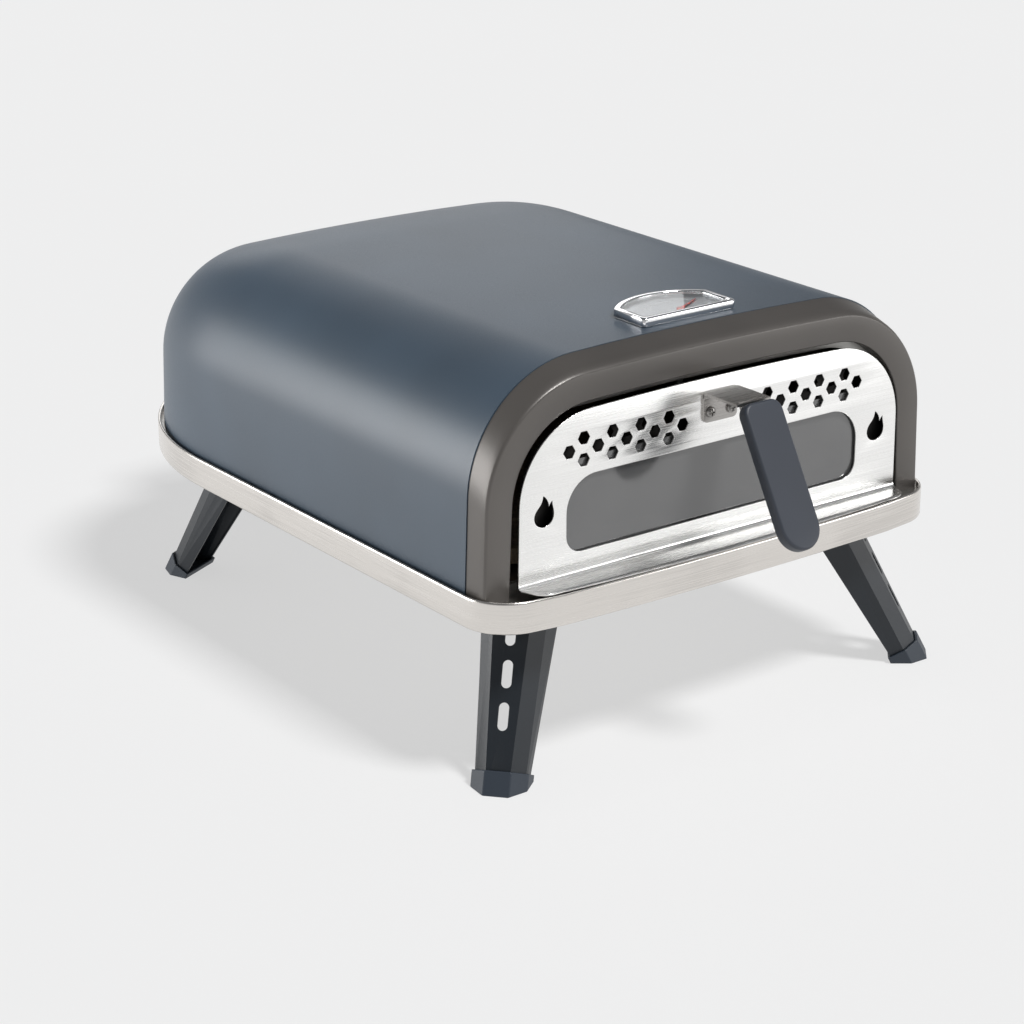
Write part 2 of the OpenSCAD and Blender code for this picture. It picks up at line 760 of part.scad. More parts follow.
module door_inner_panel() {
    y = door_t + glass_t + 3.2;
    color(SATIN) place() difference() {
        union() {
            slab(door_arch(6), y, y + 1);
            difference() {
                slab(door_arch(6), y - 3, y + 1);
                slab(door_arch(7), y - 4, y + 2);
                translate([-200, y - 5, 0]) cube([400, 10, sill_z + 7]);
            }
        }
        slab(window_outline(-8), y - 5, y + 3);
        for (s = [-1, 1], k = [0:5]) translate([s * (40 + 20 * k), y + 5, sill_z + vent_rise + 4])
            rotate([90, 0, 0]) cylinder(r = 7, h = 10, $fn = 6);
    }
}

module door_spacers() {
    color(STEEL) place() for (s = [-1, 1], p = [[160, 20], [150, 92]])
        translate([s * p[0], door_t, sill_z + p[1]]) rotate([-90, 0, 0]) cylinder(r = 4, h = glass_t + 3.2);
}

module window_glass() {
    y = door_t + 1.6;
    pane = round_rect(window_half + 8, sill_z + 9, sill_z + 87, 8, 8);
    color([0.45, 0.5, 0.5, 0.4]) place() slab(pane, y, y + glass_t);
}

module window_gasket() {
    color([0.1, 0.1, 0.1]) place() difference() {
        slab(round_rect(window_half + 6, sill_z + 11, sill_z + 81, 16, 30), door_t, door_t + 1.6);
        slab(window_outline(0.6), door_t - 1, door_t + 3);
    }
}

module window_clips() {
    y = door_t + 1.6 + glass_t;
    color(STEEL) place() for (s = [-1, 1], x = [50, 120], z = [10, 78])
        translate([s * x - 7, y, sill_z + z]) cube([14, 1.4, 8]);
}

// ---------- handle ----------

// Moves to the bracket's front flange: +Z up along the grip, +Y towards the door
module at_grip() {
    translate([0, -bracket_reach, sill_z + bracket_rise]) rotate([-grip_lean, 0, 0]) children();
}

module handle_bracket() {
    w = bracket_w;
    top = sill_z + bracket_rise;
    color([0.66, 0.65, 0.63]) place() difference() {
        union() {
            slab(round_rect(w / 2, top - 24, top, 4, 0.5), -bracket_t, 0);
            translate([-w / 2, -bracket_reach - bracket_lip, top - bracket_t])
                cube([w, bracket_reach + bracket_lip, bracket_t]);
            at_grip() translate([-w / 2 + 4, -bracket_t, -48]) cube([w - 8, bracket_t, 48]);
        }
        bolt_holes();
        grip_bolts(screw_r + 0.1);
    }
}

// Two bolts through the bracket's front flange into the grip, at radius r
module grip_bolts(r) {
    at_grip() for (z = [-18, -38]) translate([0, 1, z]) rotate([90, 0, 0]) cylinder(r = r, h = 9);
}

module handle_grip() {
    outline = round_rect(grip_w / 2, -grip_drop - grip_l, -grip_drop, grip_w / 2 - 0.1, 9);
    color(NIGHT) place() difference() {
        at_grip() slab(outline, -bracket_t - grip_t, -bracket_t);
        grip_bolts(screw_r + 0.1);
    }
}

module grip_screws() {
    color(STEEL) place() at_grip() for (z = [-18, -38]) translate([0, 0, z]) rotate([90, 0, 0])
        screw(screw_r, 7.5, 3.6, 1.8);
}

module handle_screws() {
    color(STEEL) place() for (s = [-1, 1]) translate([s * screw_x, -bracket_t, sill_z + screw_rise])
        rotate([-90, 0, 0]) screw(screw_r, 6, 3.8, 2.2);
}

// ---------- fuel drawer ----------

module fuel_port() {
    z0 = sill_z + port_rise[0];
    h = port_rise[1] - port_rise[0];
    color(STEEL) place() {
        difference() {
            translate([-port_half, port_y[0], z0]) cube([2 * port_half, port_y[1] - port_y[0], h]);
            translate([-port_half + port_t, port_y[0] - 1, z0 + port_t])
                cube([2 * (port_half - port_t), 100, h - 2 * port_t]);
        }
    }
}

module fuel_rails() {
    z0 = sill_z + port_rise[0] + port_t;
    color(SATIN) place() for (s = [-1, 1])
        translate([s * 53 - 5, basket_y, z0]) cube([10, port_y[1] - basket_y - 4, 3]);
}

module fuel_drawer_front() {
    front = round_rect(port_half + 4, sill_z + port_rise[0] - 2, sill_z + port_rise[1] + 4, 4, 4);
    color(STEEL) place() difference() {
        slab(front, drawer_y, drawer_y + drawer_t);
        translate([0, drawer_y - 1, shutter_z]) rotate([-90, 0, 0]) {
            cylinder(r = 2.5, h = 5);
            air_holes(22);
        }
    }
}

// Ring of four air holes, turned by the angle a
module air_holes(a) {
    for (i = [0:3]) rotate([0, 0, 90 * i + a]) translate([air_ring_r, 0, 0]) cylinder(r = air_hole_r, h = 5);
}

basket_z = sill_z + port_rise[0] + port_t + 3.3;
basket_h = 50;
basket_t = 1.5;

module fuel_basket() {
    len = port_y[1] - basket_y;
    half = basket_half;
    slot = [6, 6, 26];
    color(SATIN) place() difference() {
        translate([-half, basket_y, basket_z]) cube([2 * half, len + 1, basket_h]);
        translate([-half + basket_t, basket_y + basket_t, basket_z + basket_t])
            cube([2 * (half - basket_t), len - 2, basket_h + 1]);
        for (s = [-1, 1], i = [0:8])
            translate([s * half - 3, basket_y + 12 + 14 * i, basket_z + 12]) cube(slot);
        for (i = [-3:3]) translate([i * 13 - 3, basket_y - 3, basket_z + 12]) cube(slot);
        for (i = [0:8]) translate([-36, basket_y + 12 + 14 * i, basket_z - 1]) cube([72, 6, 4]);
        translate([-20, port_y[1] - 4, basket_z + 8]) cube([40, 10, 34]);
    }
}

module fuel_grate() {
    color([0.2, 0.2, 0.2]) place() translate([0, basket_y, basket_z]) {
        for (i = [-6:6]) translate([i * 7.5 - 1.5, 4, 8]) cube([3, 124, 3]);
        for (y = [12, 64, 116]) translate([-48, y, 4]) cube([96, 4, 4 + EPS]);
        for (s = [-1, 1], y = [12, 116]) translate([s * 44 - 2, y, basket_t]) cube([4, 4, 3]);
    }
}

module fuel_drawer_handle() {
    y = drawer_y + drawer_t;
    color(NIGHT) place() {
        for (s = [-1, 1]) translate([s * 40, y, pull_z]) rotate([-90, 0, 0]) cylinder(r = 4, h = pull_reach);
        translate([-46, y + pull_reach, pull_z]) rotate([0, 90, 0]) cylinder(r = pull_r, h = 92);
    }
}

module air_shutter() {
    color([0.66, 0.65, 0.63]) place() translate([0, shutter_y, shutter_z]) rotate([-90, 0, 0]) {
        difference() {
            cylinder(r = shutter_r, h = 1.5);
            translate([0, 0, -1]) cylinder(r = 2.55, h = 4);
            translate([0, 0, -1]) air_holes(-22);
        }
        rotate([0, 0, -67]) translate([-3, 15, 1.5 - EPS]) cube([6, 4, 9]);
    }
}

module shutter_rivet() {
    color(STEEL) place() translate([0, drawer_y, shutter_z]) rotate([-90, 0, 0]) {
        cylinder(r = 2.5, h = 4.6);
        translate([0, 0, 4.2]) cylinder(r = 5, h = 1.6);
    }
}

base_rim();
base_floor();
base_screws();
leg_brackets();
leg_pins();
outer_shell();
shell_insulation();
front_frame();
frame_screws();
mouth_collar();
inner_liner();
floor_insulation();
hearth_plate();
stone_supports();
pizza_stone();
flame_baffle();
gauge_bezel();
gauge_dial();
gauge_lens();
gauge_needle();
gauge_stem();
gauge_nut();
door_plate();
door_inner_panel();
door_spacers();
window_glass();
window_gasket();
window_clips();
handle_bracket();
handle_grip();
handle_screws();
grip_screws();
leg_front_left();
leg_front_right();
leg_back_left();
leg_back_right();
foot_front_left();
foot_front_right();
foot_back_left();
foot_back_right();
fuel_port();
fuel_rails();
fuel_drawer_front();
fuel_basket();
fuel_grate();
fuel_drawer_handle();
air_shutter();
shutter_rivet();
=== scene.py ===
"""Looks of the table-top pizza oven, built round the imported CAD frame. Lengths are in metres."""
import math

import bmesh
import bpy
from mathutils import Matrix, Vector


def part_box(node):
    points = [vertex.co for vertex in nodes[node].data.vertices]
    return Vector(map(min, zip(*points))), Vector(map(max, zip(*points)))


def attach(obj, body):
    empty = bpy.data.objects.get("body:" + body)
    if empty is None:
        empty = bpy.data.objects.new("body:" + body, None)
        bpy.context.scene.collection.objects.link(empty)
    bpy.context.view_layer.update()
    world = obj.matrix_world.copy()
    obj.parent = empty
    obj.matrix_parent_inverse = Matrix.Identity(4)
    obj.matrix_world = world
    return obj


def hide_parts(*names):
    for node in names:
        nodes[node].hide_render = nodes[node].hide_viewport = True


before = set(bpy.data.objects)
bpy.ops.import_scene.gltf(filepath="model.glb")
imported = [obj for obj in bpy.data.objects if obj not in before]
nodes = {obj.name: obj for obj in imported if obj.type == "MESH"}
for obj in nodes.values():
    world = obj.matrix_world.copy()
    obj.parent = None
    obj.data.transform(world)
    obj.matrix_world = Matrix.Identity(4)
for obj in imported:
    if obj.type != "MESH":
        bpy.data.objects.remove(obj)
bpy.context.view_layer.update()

MM = 0.001


def corners(name):
    """Lowest and highest corners of a CAD node, in millimetres."""
    low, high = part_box(name)
    return low / MM, high / MM


# ---------- sizes, in millimetres, read from the frame or shared with the CAD model ----------

door_low, door_high = corners("door_plate")
shell_low, shell_high = corners("outer_shell")
rim_low, rim_high = corners("base_rim")
port_low, port_high = corners("fuel_port")
bezel_low, bezel_high = corners("gauge_bezel")
grip_low, grip_high = corners("handle_grip")

DOOR_T = 1.2
DOOR_Y = door_high.y - DOOR_T
SILL = door_low.z + 1.0
CROWN_R = 3400
DRAFT = math.radians(1.9)
SHELL_Z = shell_low.z
SHELL_HALF = shell_high.x
SHELL_TOP = shell_high.z
SHELL_CORNER = 95
SHELL_T = 1.2
PLAN_POWER = 2.15
ROOF_POWER = 2.13
PLAN_STRAIGHT = 387
ROOF_STRAIGHT = 371
SHELL_ROUND = 219.5
FRAME_HALF = corners("front_frame")[1].x
FRAME_FACE = 2.5
FRAME_BACK = 24.7
FRAME_RISE = (152.7, 160.9)
FRAME_CORNER = (92, 95)
MOUTH_HALF = 190.9
MOUTH_RISE = 130.5
MOUTH_CORNER = 70
MOUTH_LEAN = math.radians(2.2)
DOOR_LEAN = math.radians(0.9)
DOOR_HALF = door_high.x
DOOR_RISE = door_high.z - SILL
DOOR_CORNER = 66
WINDOW = (142, 16.9, 74.8, 14, 27)
VENT_START = 34.7
VENT_STEP = (13.15, 8.28)
VENT_RISE = 94.6
VENT_R = 5.5
FLAME_X = 162.3
FLAME_RISE = 42.5
LIP_REACH = 26.7
TRAY_HALF = rim_high.x
TRAY_FRONT = -26
TRAY_BOW = 7
TRAY_CORNER = 38
TRAY_ROUND = 224
GRIP_W = grip_high.x - grip_low.x
GRIP_L = 113.0
GRIP_DROP = 4
GRIP_T = 10
GRIP_LEAN = math.radians(29.5)
BRACKET_REACH = 34.0
BRACKET_T = 2
BRACKET_W = 32.5
BRACKET_LIP = 4.3
BRACKET_RISE = 116
GAUGE_HALF = bezel_high.x
GAUGE_Y = 34.5
GAUGE_SIDE = 35
GAUGE_BULGE = 20
GAUGE_RING = 5
NEEDLE_BACK = 12


# ---------- outlines, the same formulas as the CAD model ----------

def arc(cx, cy, r, a0, a1, n):
    """Points of an arc from a0 to a1 degrees."""
    angles = [math.radians(a0 + (a1 - a0) * i / n) for i in range(n + 1)]
    return [(cx + r * math.cos(a), cy + r * math.sin(a)) for a in angles]


def arch(w, z0, top, r, cr, lean, n=24, foot=3):
    """Arch with leaning sides, round corners and a slightly crowned top, right foot to left foot."""
    slope = math.tan(lean)
    k = w - r / math.cos(lean) + z0 * slope
    low = top - cr
    b = k * slope + low
    q = slope * slope + 1
    zc = (b + math.sqrt(b * b - q * (k * k + low * low - (cr - r) ** 2))) / q
    xc = k - zc * slope
    up = 90 - math.degrees(math.atan2(xc, zc - low))
    lean = math.degrees(lean)
    side = arc(xc, zc, r, lean, up, n)
    first = side[0]
    rise = [(w + (first[0] - w) * i / foot, z0 + (first[1] - z0) * i / foot) for i in range(foot)]
    right = rise + side
    crown = arc(0, low, cr, up + 0.5, 179.5 - up, 12)
    return right + crown + [(-x, z) for x, z in reversed(right)]


def share(u, power):
    return max(0.0, 1 - max(0.0, u) ** power) ** (1 / power)


def d_plan(w, front, bow, corner, back, n=40):
    """D-shaped plan: bowed front with round corners, straight sides and a rounded back."""
    side = front + bow
    points = arc(w - corner, side + corner, corner, -80, 0, 14)
    for i in range(2 * n + 1):
        a = math.radians(90 * i / n)
        x = w * math.copysign(abs(math.cos(a)) ** (2 / PLAN_POWER), math.cos(a))
        points.append((x, PLAN_STRAIGHT + back * max(0.0, math.sin(a)) ** (2 / PLAN_POWER)))
    points += arc(-w + corner, side + corner, corner, 180, 260, 14)
    for i in range(1, 16):
        x = (w - corner) * (i / 8 - 1)
        points.append((x, front + bow * x * x / (w * w)))
    return points


def round_rect(w, y0, y1, r0, r1, n=8):
    return (arc(w - r0, y0 + r0, r0, -90, 0, n) + arc(w - r1, y1 - r1, r1, 0, 90, n)
            + arc(-w + r1, y1 - r1, r1, 90, 180, n) + arc(-w + r0, y0 + r0, r0, 180, 270, n))


def bezier(a, b, c, d, n=8):
    points = []
    for i in range(1, n + 1):
        t, u = i / n, 1 - i / n
        points.append(tuple(u ** 3 * a[k] + 3 * u * u * t * b[k] + 3 * u * t * t * c[k] + t ** 3 * d[k]
                            for k in (0, 1)))
    return points


FLAME = (bezier((0, 0), (6, 0.5), (9.5, 5), (9, 10)) + bezier((9, 10), (8.6, 13.5), (7.2, 16), (7.6, 19))
         + bezier((7.6, 19), (5.6, 17.8), (4.8, 16.4), (4.6, 14.6))
         + bezier((4.6, 14.6), (4.2, 18.5), (2.6, 21.5), (-0.8, 24.2))
         + bezier((-0.8, 24.2), (-1, 19), (-3.4, 17), (-6.4, 14))
         + bezier((-6.4, 14), (-11.4, 8.4), (-8, 0.6), (0, 0)))


# ---------- mesh building ----------

def new_object(name, verts, faces, smooth=40):
    """Mesh object from millimetre points, shaded smooth except at edges sharper than smooth degrees."""
    mesh = bpy.data.meshes.new(name)
    mesh.from_pydata([Vector(v) * MM for v in verts], [], faces)
    obj = bpy.data.objects.new(name, mesh)
    bpy.context.scene.collection.objects.link(obj)
    finish_mesh(obj, smooth)
    return obj


def finish_mesh(obj, smooth=40):
    """Merges doubles, turns normals outward and marks sharp edges."""
    bm = bmesh.new()
    bm.from_mesh(obj.data)
    bmesh.ops.remove_doubles(bm, verts=bm.verts, dist=2e-6)
    bmesh.ops.dissolve_degenerate(bm, edges=bm.edges, dist=1e-7)
    bmesh.ops.recalc_face_normals(bm, faces=bm.faces)
    limit = math.radians(smooth)
    for face in bm.faces:
        face.smooth = True
    for edge in bm.edges:
        edge.smooth = len(edge.link_faces) == 2 and edge.calc_face_angle(0) < limit
    bm.to_mesh(obj.data)
    bm.free()


def apply_modifiers(obj, smooth=40):
    """Replaces the object's mesh by its evaluated one."""
    mesh = bpy.data.meshes.new_from_object(obj.evaluated_get(bpy.context.evaluated_depsgraph_get()))
    old = obj.data
    obj.modifiers.clear()
    obj.data = mesh
    if old.users == 0:
        bpy.data.meshes.remove(old)
    finish_mesh(obj, smooth)
    return obj


def loft(name, rings, closed=False, caps=False, smooth=40):
    """Skin through rings of equal length."""
    n = len(rings[0])
    verts = [p for ring in rings for p in ring]
    faces = []
    for j in range(len(rings) - 1):
        for i in range(n if closed else n - 1):
            k = (i + 1) % n
            faces.append((j * n + i, j * n + k, (j + 1) * n + k, (j + 1) * n + i))
    if caps:
        faces.append(tuple(range(n - 1, -1, -1)))
        faces.append(tuple((len(rings) - 1) * n + i for i in range(n)))
    return new_object(name, verts, faces, smooth)


def solidify(obj, thickness, smooth=40):
    modifier = obj.modifiers.new("sheet", "SOLIDIFY")
    modifier.thickness = thickness * MM
    modifier.offset = -1
    modifier.use_even_offset = True
    return apply_modifiers(obj, smooth)


def plate(name, outlines, thickness, bevel, place=Matrix.Identity(4), steps=2):
    """Flat plate with rounded edges: the first outline is its edge and the others are holes.
    It lies in XY with its middle at z = 0 before it is placed."""
    curve = bpy.data.curves.new(name, "CURVE")
    curve.dimensions = "2D"
    curve.fill_mode = "BOTH"
    curve.extrude = (thickness / 2 - bevel) * MM
    curve.bevel_depth = bevel * MM
    curve.bevel_resolution = steps
    curve.offset = -bevel * MM
    for outline in outlines:
        spline = curve.splines.new("POLY")
        spline.points.add(len(outline) - 1)
        for point, (x, y) in zip(spline.points, outline):
            point.co = (x * MM, y * MM, 0, 1)
        spline.use_cyclic_u = True
    source = bpy.data.objects.new(name + "_outline", curve)
    bpy.context.scene.collection.objects.link(source)
    mesh = bpy.data.meshes.new_from_object(source.evaluated_get(bpy.context.evaluated_depsgraph_get()))
    bpy.data.objects.remove(source)
    bpy.data.curves.remove(curve)
    mesh.name = name
    obj = bpy.data.objects.new(name, mesh)
    bpy.context.scene.collection.objects.link(obj)
    mesh.transform(place)
    finish_mesh(obj)
    return obj


def merge(name, parts):
    """One object from several meshes."""
    bm = bmesh.new()
    for part in parts:
        bm.from_mesh(part.data)
        data = part.data
        bpy.data.objects.remove(part)
        bpy.data.meshes.remove(data)
    mesh = bpy.data.meshes.new(name)
    bm.to_mesh(mesh)
    bm.free()
    obj = bpy.data.objects.new(name, mesh)
    bpy.context.scene.collection.objects.link(obj)
    return obj


def cut(obj, cutter, smooth=40):
    """Takes cutter's volume out of obj."""
    modifier = obj.modifiers.new("cut", "BOOLEAN")
    modifier.operation = "DIFFERENCE"
    modifier.solver = "EXACT"
    modifier.object = cutter
    apply_modifiers(obj, smooth)
    data = cutter.data
    bpy.data.objects.remove(cutter)
    bpy.data.meshes.remove(data)
    return obj


def block(name, low, high):
    """Box between two corners, in millimetres."""
    verts = [(x, y, z) for x in (low[0], high[0]) for y in (low[1], high[1]) for z in (low[2], high[2])]
    faces = [(0, 1, 3, 2), (4, 6, 7, 5), (0, 4, 5, 1), (2, 3, 7, 6), (0, 2, 6, 4), (1, 5, 7, 3)]
    return new_object(name, verts, faces)


def revolve(name, profile, n=32):
    """Solid of revolution about Z from (radius, height) points that start and end on the axis."""
    verts, faces = [], []
    for r, z in profile:
        for i in range(n):
            a = 2 * math.pi * i / n
            verts.append((r * math.cos(a), r * math.sin(a), z))
    for j in range(len(profile) - 1):
        for i in range(n):
            k = (i + 1) % n
            faces.append((j * n + i, j * n + k, (j + 1) * n + k, (j + 1) * n + i))
    return new_object(name, verts, faces, 35)


def put(obj, matrix):
    obj.data.transform(matrix)
    return obj


def at(x, y, z):
    """Moves by millimetres measured from the door plate's face, sideways middle and ground."""
    return Matrix.Translation(Vector((x, y + DOOR_Y, z)) * MM)


def upright(y):
    """Turns an XY outline into an XZ one at distance y behind the door plate's face."""
    return at(0, y, 0) @ Matrix.Rotation(math.pi / 2, 4, "X")


# ---------- materials ----------

class Graph:
    """Short hand for a material's nodes."""

    def __init__(self, name, color, rough, metal=0.0, **constants):
        self.material = bpy.data.materials.new(name)
        self.material.use_nodes = True
        self.tree = self.material.node_tree
        self.shader = self.tree.nodes["Principled BSDF"]
        self.shader.inputs["Base Color"].default_value = (*color, 1)
        self.shader.inputs["Roughness"].default_value = rough
        self.shader.inputs["Metallic"].default_value = metal
        for key, value in constants.items():
            self.shader.inputs[key.replace("_", " ")].default_value = value
        self.place = self.tree.nodes.new("ShaderNodeTexCoord").outputs["Object"]

    def link(self, a, b):
        self.tree.links.new(a, b)

    def noise(self, scale, detail=3, stretch=(1, 1, 1), rough=0.6):
        mapping = self.tree.nodes.new("ShaderNodeMapping")
        mapping.inputs["Scale"].default_value = stretch
        self.link(self.place, mapping.inputs["Vector"])
        texture = self.tree.nodes.new("ShaderNodeTexNoise")
        texture.inputs["Scale"].default_value = scale
        texture.inputs["Detail"].default_value = detail
        texture.inputs["Roughness"].default_value = rough
        self.link(mapping.outputs["Vector"], texture.inputs["Vector"])
        return texture.outputs["Fac"]

    def ramp(self, source, low, high, a=0.3, b=0.7):
        """Maps source from a..b to low..high, as colours or as greys."""
        node = self.tree.nodes.new("ShaderNodeValToRGB")
        stops = node.color_ramp.elements
        stops[0].position, stops[1].position = a, b
        for stop, value in zip(stops, (low, high)):
            stop.color = (*value, 1) if isinstance(value, tuple) else (value, value, value, 1)
        self.link(source, node.inputs["Fac"])
        return node.outputs["Color"]

    def color(self, source, low, high, a=0.3, b=0.7):
        self.link(self.ramp(source, low, high, a, b), self.shader.inputs["Base Color"])

    def rough(self, source, low, high, a=0.3, b=0.7):
        self.link(self.ramp(source, low, high, a, b), self.shader.inputs["Roughness"])

    def bump(self, source, strength, distance, after=None):
        node = self.tree.nodes.new("ShaderNodeBump")
        node.inputs["Strength"].default_value = strength
        node.inputs["Distance"].default_value = distance
        self.link(source, node.inputs["Height"])
        if after is not None:
            self.link(after, node.inputs["Normal"])
        self.link(node.outputs["Normal"], self.shader.inputs["Normal"])
        return node.outputs["Normal"]


def tint(color, k):
    return tuple(min(1.0, c * k) for c in color)


def powder_coat(name, color, rough, grain=1500, spread=0.12, bump=0.25, **constants):
    """Baked powder paint: orange-peel grain, fine metallic fleck and slow tone drift."""
    g = Graph(name, color, rough, **constants)
    slow = g.noise(7, 2)
    fine = g.noise(grain, 2)
    g.color(slow, tint(color, 1 - spread), tint(color, 1 + spread))
    g.rough(fine, rough - 0.06, rough + 0.06)
    peel = g.bump(g.noise(grain * 0.45, 2), bump, 0.00008)
    g.bump(fine, bump, 0.00004, peel)
    return g.material


def brushed(name, color, rough, stretch, bump=0.2, spread=0.06, **constants):
    """Brushed stainless steel whose lines run where stretch is small."""
    g = Graph(name, color, rough, 1.0, **constants)
    lines = g.noise(1000, 3, stretch, 0.7)
    slow = g.noise(9, 2)
    mix = g.tree.nodes.new("ShaderNodeMath")
    mix.operation = "ADD"
    g.link(lines, mix.inputs[0])
    g.link(slow, mix.inputs[1])
    g.color(mix.outputs[0], tint(color, 1 - spread), tint(color, 1 + spread), 0.8, 1.2)
    g.rough(lines, rough - 0.07, rough + 0.07)
    g.bump(lines, bump, 0.00003)
    return g.material


def moulded(name, color, rough, grain=2500, bump=0.3, **constants):
    """Moulded rubber or plastic with a fine stipple."""
    g = Graph(name, color, rough, **constants)
    g.color(g.noise(11, 2), tint(color, 0.88), tint(color, 1.12))
    stipple = g.noise(grain, 2)
    g.rough(stipple, rough - 0.05, rough + 0.05)
    g.bump(stipple, bump, 0.00005)
    return g.material


def blanket():
    g = Graph("ceramic_fibre", (0.8, 0.77, 0.7), 0.95)
    fibres = g.noise(350, 4, (1, 1, 2.5))
    g.color(fibres, (0.66, 0.62, 0.55), (0.88, 0.86, 0.8))
    g.bump(fibres, 0.7, 0.001)
    return g.material


def cordierite():
    g = Graph("cordierite_stone", (0.6, 0.48, 0.33), 0.9)
    specks = g.noise(260, 4)
    g.color(specks, (0.46, 0.36, 0.25), (0.7, 0.58, 0.42))
    g.bump(specks, 0.5, 0.0006)
    return g.material


def cast_iron():
    g = Graph("cast_iron", (0.05, 0.048, 0.045), 0.65, 0.6)
    pits = g.noise(700, 4)
    g.color(pits, (0.03, 0.028, 0.026), (0.09, 0.08, 0.072))
    g.bump(pits, 0.6, 0.0004)
    return g.material


def smoked_glass():
    g = Graph("smoked_glass", (0.2, 0.2, 0.2), 0.06, 0.0, IOR=2.1, Transmission_Weight=0.45)
    film = g.noise(16, 3)
    g.color(film, (0.11, 0.11, 0.112), (0.145, 0.145, 0.145))
    g.rough(film, 0.04, 0.12)
    return g.material


def clear_glass():
    g = Graph("clear_glass", (0.97, 0.98, 0.98), 0.02, 0.0, IOR=1.12, Transmission_Weight=1.0)
    g.rough(g.noise(30, 2), 0.0, 0.04)
    return g.material


def printed(name, color):
    g = Graph(name, color, 0.5)
    g.color(g.noise(900, 2), tint(color, 0.9), tint(color, 1.05))
    return g.material


ANTHRACITE = (0.040, 0.061, 0.086)
BRONZE = (0.098, 0.090, 0.083)
NAVY = (0.008, 0.0115, 0.016)

M = {
    "shell": powder_coat("shell_paint", ANTHRACITE, 0.42, Specular_IOR_Level=0.62),
    "frame": powder_coat("frame_paint", BRONZE, 0.36, metal=0.35, Specular_IOR_Level=0.6),
    "leg": powder_coat("leg_paint", NAVY, 0.42),
    "tray": brushed("brushed_tray", (0.69, 0.66, 0.625), 0.24, (0.012, 0.012, 1.6), 0.08, 0.07),
    "door": brushed("brushed_door", (0.915, 0.91, 0.895), 0.26, (0.004, 2.2, 2.2), 0.035, 0.02),
    "bracket": brushed("brushed_bracket", (0.4, 0.385, 0.37), 0.3, (0.02, 1, 1), 0.05),
    "steel": brushed("satin_steel", (0.5, 0.49, 0.47), 0.38, (0.03, 1, 1)),
    # painted shade: a darker copy of satin_steel for the flame baffle, fuel basket and window clips, which
    # sit in shade
    "shadow_steel": brushed("painted_shade_steel", (0.22, 0.205, 0.19), 0.42, (0.03, 1, 1)),
    "fastener": brushed("turned_steel", (0.3, 0.29, 0.28), 0.3, (1, 1, 1), 0.1),
    # painted shade: the door's inner panel and spacers are near-black steel to stand for the shade seen
    # through the vents
    "panel": brushed("painted_shade_panel", (0.035, 0.033, 0.032), 0.5, (0.03, 1, 1)),
    "trim": brushed("polished_trim", (0.88, 0.88, 0.89), 0.08, (0.1, 0.1, 1), 0.02, 0.02),
    "dial": brushed("brushed_dial", (0.52, 0.53, 0.55), 0.35, (0.02, 1, 1)),
    "grip": moulded("soft_grip", (0.033, 0.039, 0.052), 0.46),
    "foot": moulded("foot_rubber", (0.02, 0.028, 0.04), 0.5),
    "gasket": moulded("gasket_rubber", (0.015, 0.015, 0.016), 0.55),
    "recess": moulded("recess_plastic", (0.03, 0.031, 0.034), 0.5, 900),
    "blanket": blanket(),
    "stone": cordierite(),
    "iron": cast_iron(),
    "window": smoked_glass(),
    "lens": clear_glass(),
    "red": powder_coat("needle_paint", (0.62, 0.03, 0.02), 0.3),
    "white": printed("scale_print", (0.8, 0.8, 0.8)),
}


def dress(obj, material, body, slot_name, *replaced):
    """Gives a new piece its material and body, and hides what it stands for. Its slot_name is not used."""
    obj.data.materials.clear()
    obj.data.materials.append(M[material])
    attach(obj, body)
    if replaced:
        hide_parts(*replaced)
    return obj


# ---------- stage, light and camera ----------

def stage():
    """Floor and world; returns the collection that keeps the softboxes off the floor."""
    size, z, albedo, glow = 14.0, 0.0, (0.3, 0.3, 0.3), 0.575
    mesh = bpy.data.meshes.new("floor")
    square = [(-size, -size, z), (size, -size, z), (size, size, z), (-size, size, z)]
    mesh.from_pydata(square, [], [(0, 1, 2, 3)])
    floor = bpy.data.objects.new("floor", mesh)
    bpy.context.scene.collection.objects.link(floor)
    g = Graph("pale_floor", albedo, 0.9, Specular_IOR_Level=0.0,
              Emission_Color=(1, 1, 1, 1), Emission_Strength=glow)
    g.color(g.noise(2, 2), albedo, tint(albedo, 1.01))
    mesh.materials.append(g.material)
    lit = bpy.data.collections.new("all_but_the_floor")
    lit.objects.link(floor)
    lit.collection_objects[0].light_linking.link_state = "EXCLUDE"

    world = bpy.data.worlds.new("studio")
    bpy.context.scene.world = world
    world.use_nodes = True
    tree = world.node_tree
    direction = tree.nodes.new("ShaderNodeTexCoord").outputs["Generated"]
    split = tree.nodes.new("ShaderNodeSeparateXYZ")
    tree.links.new(direction, split.inputs[0])
    ramp = tree.nodes.new("ShaderNodeValToRGB")
    stops = ramp.color_ramp.elements
    stops[0].position, stops[1].position = 0.06, 0.5
    stops[0].color = (0.46, 0.46, 0.46, 1)
    stops[1].color = (0.15, 0.153, 0.16, 1)
    tree.links.new(split.outputs["Z"], ramp.inputs["Fac"])
    tree.links.new(ramp.outputs["Color"], tree.nodes["Background"].inputs["Color"])
    return lit


def lamp(name, kind, place, aim, energy, size=(1, 1), angle=0.5, receivers=None):
    """Lamp at place that faces aim; with receivers it lights only what they hold."""
    data = bpy.data.lights.new(name, kind)
    data.energy = energy
    if kind == "AREA":
        data.shape = "RECTANGLE"
        data.size, data.size_y = size
    else:
        data.angle = angle
    obj = bpy.data.objects.new(name, data)
    bpy.context.scene.collection.objects.link(obj)
    obj.location = place
    obj.rotation_euler = (Vector(aim) - Vector(place)).to_track_quat("-Z", "Y").to_euler()
    obj.visible_camera = False
    obj.light_linking.receiver_collection = receivers
    return obj


